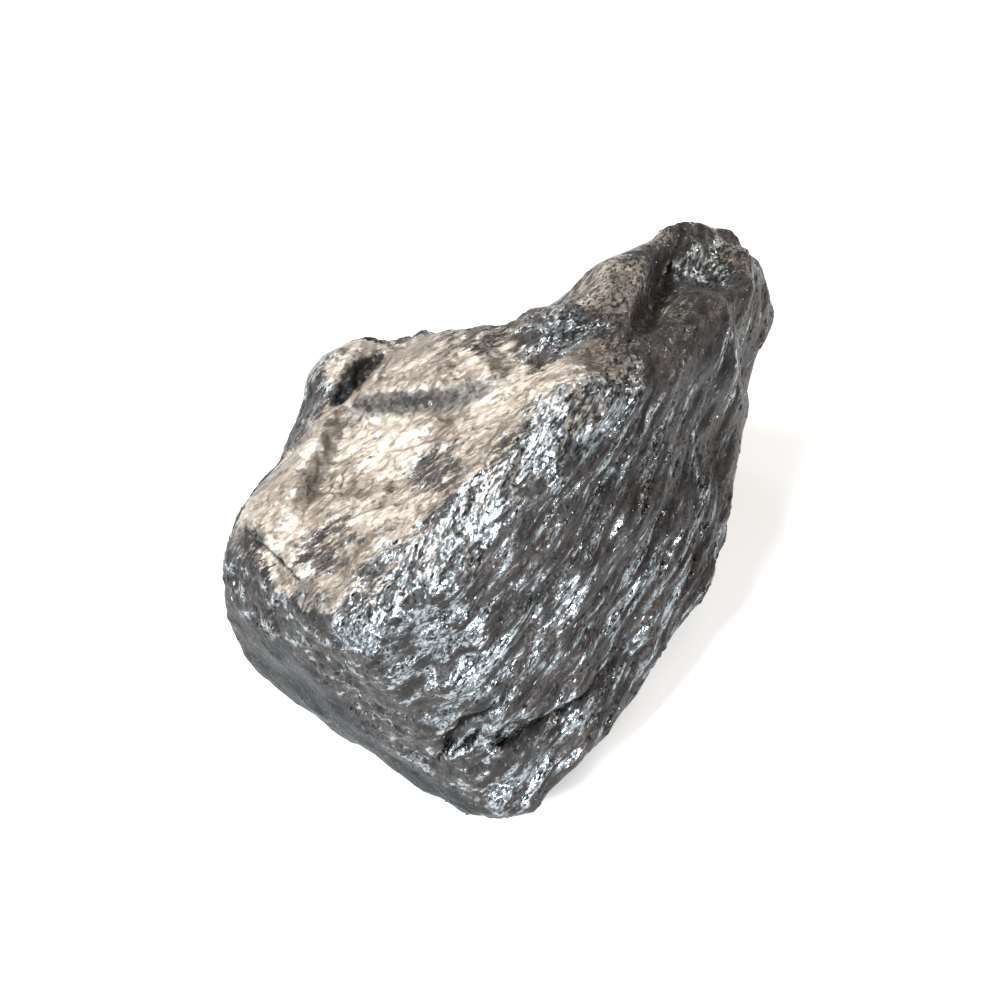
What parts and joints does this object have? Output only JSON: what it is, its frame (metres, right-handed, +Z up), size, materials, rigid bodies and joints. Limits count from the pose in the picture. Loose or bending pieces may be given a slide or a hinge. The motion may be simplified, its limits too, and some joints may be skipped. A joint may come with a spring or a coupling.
{
  "type": "graphite chunk",
  "caption": "Rough lump of foliated natural graphite with a sloping cleavage face, a blunt crest, a streaked flank and a narrow nose; a loose hand specimen that rests on its worn underside.",
  "frame": {"origin": "middle of the bounding box, on the worn flat underside that the lump rests on", "axes": "+X along the lump towards its narrow nose, +Y towards the foot of the sloping cleavage face, +Z up"},
  "size_m": [0.071, 0.0496, 0.0361],
  "materials": {
    "graphite": "satin"
  },
  "bodies": {
    "root": {"graphite_chunk": "graphite"}
  },
  "joints": []
}
